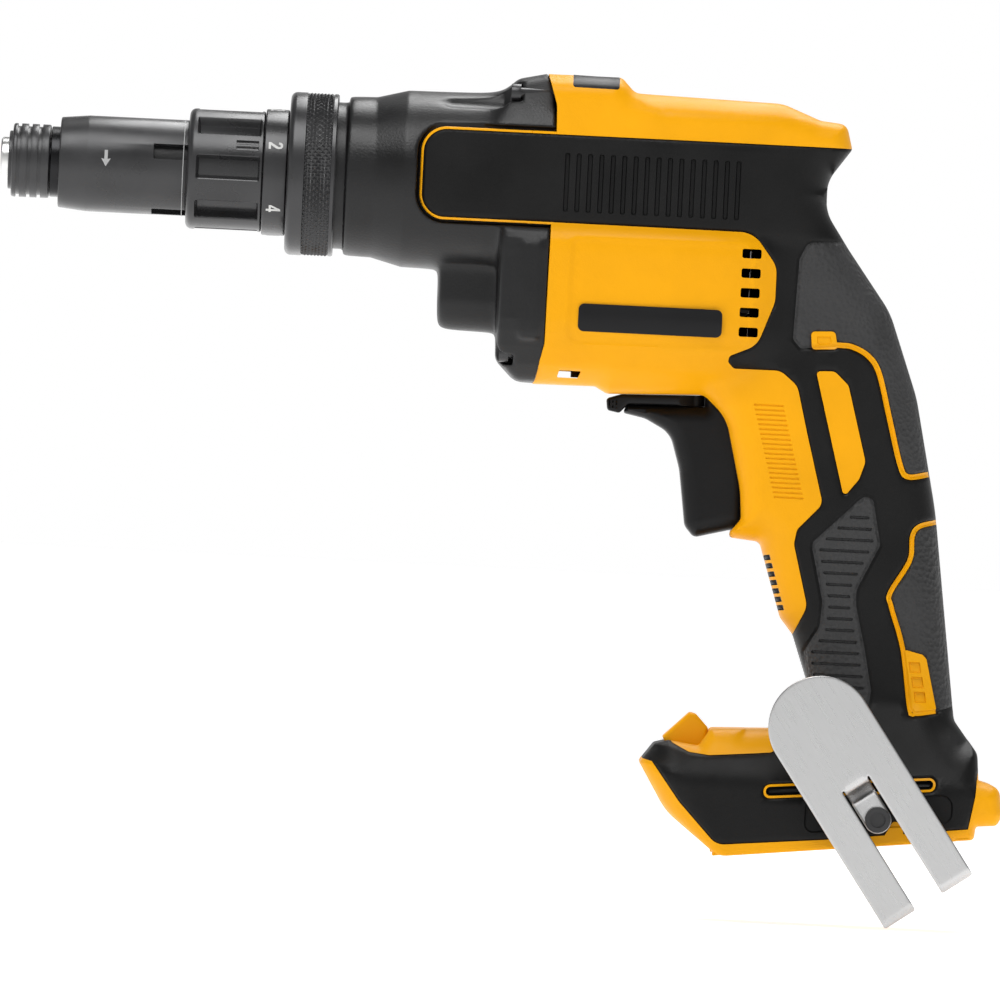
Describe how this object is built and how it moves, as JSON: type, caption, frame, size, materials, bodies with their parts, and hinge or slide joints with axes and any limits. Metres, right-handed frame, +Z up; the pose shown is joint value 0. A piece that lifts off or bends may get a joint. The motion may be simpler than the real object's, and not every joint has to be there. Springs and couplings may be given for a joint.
{
  "type": "drywall screwdriver",
  "caption": "Cordless pistol-grip drywall screwdriver with a quick-release hex bit holder, an adjustable clutch nose, a belt hook and a slide-on battery foot.",
  "frame": {"origin": "centre of the spindle's front face, on the bit axis", "axes": "+X along the spindle from the tip towards the grip, +Z up away from the battery foot, -Y the side with the belt hook"},
  "size_m": [0.35, 0.088, 0.2837],
  "materials": {
    "yellow_plastic": "fine moulded grain",
    "black_rubber": "matte, fine texture",
    "black_plastic": "moulded grain",
    "black_metal": "black oxide, satin",
    "bright_steel": "plated, brushed",
    "machined_steel": "machined",
    "spring_steel": "drawn wire",
    "cast_aluminium": "cast",
    "bronze": "sintered",
    "copper_wire": "enamelled",
    "lead_insulation": "extruded",
    "board_green": "lacquered",
    "clear_lens": "clear, slightly frosted",
    "label_black": "satin, bare"
  },
  "bodies": {
    "body": {"left_housing": "yellow_plastic", "right_housing": "yellow_plastic", "left_overmold": "black_rubber", "right_overmold": "black_rubber", "gear_case": "black_plastic", "gear_plate": "cast_aluminium", "gear_case_screws": "black_metal", "housing_screws": "black_metal", "clutch_housing": "cast_aluminium", "spindle_bush": "bronze", "number_ring": "black_metal", "output_front_bearing": "machined_steel", "output_rear_bearing": "machined_steel", "intermediate_bushes": "bronze", "pinion_bush": "bronze", "motor_front_bearing": "machined_steel", "motor_rear_bearing": "machined_steel", "stator_core": "machined_steel", "stator_windings": "copper_wire", "sensor_board": "board_green", "switch_body": "black_plastic", "trigger_spring": "spring_steel", "control_module": "cast_aluminium", "motor_leads": "lead_insulation", "switch_leads": "lead_insulation", "battery_leads": "lead_insulation", "terminal_block": "black_plastic", "terminal_blades": "copper_wire", "light_housing": "yellow_plastic", "light_lens": "clear_lens", "light_board": "board_green", "belt_hook": "bright_steel", "belt_hook_screw": "black_metal", "hook_inserts": "bronze", "top_label": "label_black", "side_badges": "label_black"},
    "motor_rotor": {"motor_shaft": "machined_steel", "rotor": "machined_steel", "fan": "black_plastic"},
    "intermediate_drive": {"intermediate_shaft": "machined_steel", "intermediate_gear": "machined_steel"},
    "output_drive": {"output_shaft": "machined_steel", "output_gear": "machined_steel", "driving_clutch": "machined_steel", "return_spring": "spring_steel"},
    "bit_spindle": {"spindle": "bright_steel", "bit_ball": "bright_steel", "sleeve_retaining_ring": "machined_steel", "spring_seat": "machined_steel", "clutch_spring": "spring_steel", "driven_clutch": "machined_steel", "release_spring": "spring_steel"},
    "quick_release": {"release_sleeve": "black_metal"},
    "scale": {"scale_sleeve": "black_metal"},
    "adjuster": {"adjusting_ring": "black_metal"},
    "lock_collar": {"knurled_collar": "black_metal"},
    "trigger": {"trigger": "black_plastic"},
    "reverse_lever": {"direction_lever": "black_plastic"}
  },
  "joints": [
    {"name": "rotor_spin", "type": "hinge", "parent": "body", "child": "motor_rotor", "pos_m": [0.1875, 0, -0.03965], "axis": [1, 0, 0], "continuous": true},
    {"name": "intermediate_spin", "type": "hinge", "parent": "body", "child": "intermediate_drive", "pos_m": [0.1875, 0, -0.0204], "axis": [1, 0, 0], "continuous": true},
    {"name": "output_spin", "type": "hinge", "parent": "body", "child": "output_drive", "pos_m": [0.1875, 0, 0], "axis": [1, 0, 0], "continuous": true},
    {"name": "spindle_push", "type": "slide", "parent": "output_drive", "child": "bit_spindle", "axis": [1, 0, 0], "range_m": [0, 0.003], "stiffness_N_per_m": 2500, "springref_m": -0.004, "deforming": ["return_spring"]},
    {"name": "release_sleeve_slide", "type": "slide", "parent": "bit_spindle", "child": "quick_release", "axis": [-1, 0, 0], "range_m": [0, 0.0025], "stiffness_N_per_m": 900, "springref_m": -0.003, "deforming": ["release_spring"]},
    {"name": "adjusting_ring_turn", "type": "hinge", "parent": "body", "child": "adjuster", "pos_m": [0.08, 0, 0], "axis": [1, 0, 0], "range_deg": [0, 300]},
    {"name": "scale_sleeve_travel", "type": "slide", "parent": "body", "child": "scale", "axis": [1, 0, 0], "range_m": [0, 0.006]},
    {"name": "knurled_collar_turn", "type": "hinge", "parent": "body", "child": "lock_collar", "pos_m": [0.105, 0, 0], "axis": [1, 0, 0], "range_deg": [0, 40]},
    {"name": "trigger_pull", "type": "slide", "parent": "body", "child": "trigger", "axis": [1, 0, 0], "range_m": [0, 0.006], "stiffness_N_per_m": 900, "springref_m": -0.004, "deforming": ["trigger_spring"]},
    {"name": "direction_lever_swing", "type": "hinge", "parent": "body", "child": "reverse_lever", "pos_m": [0.2395, 0, -0.07], "axis": [0, 0, 1], "range_deg": [-8, 8]}
  ],
  "couplings": [
    {"joint": "intermediate_spin", "follows": "rotor_spin", "ratio": -0.27907},
    {"joint": "output_spin", "follows": "rotor_spin", "ratio": 0.095471},
    {"joint": "scale_sleeve_travel", "follows": "adjusting_ring_turn", "m_per_rad": 0.001145}
  ]
}
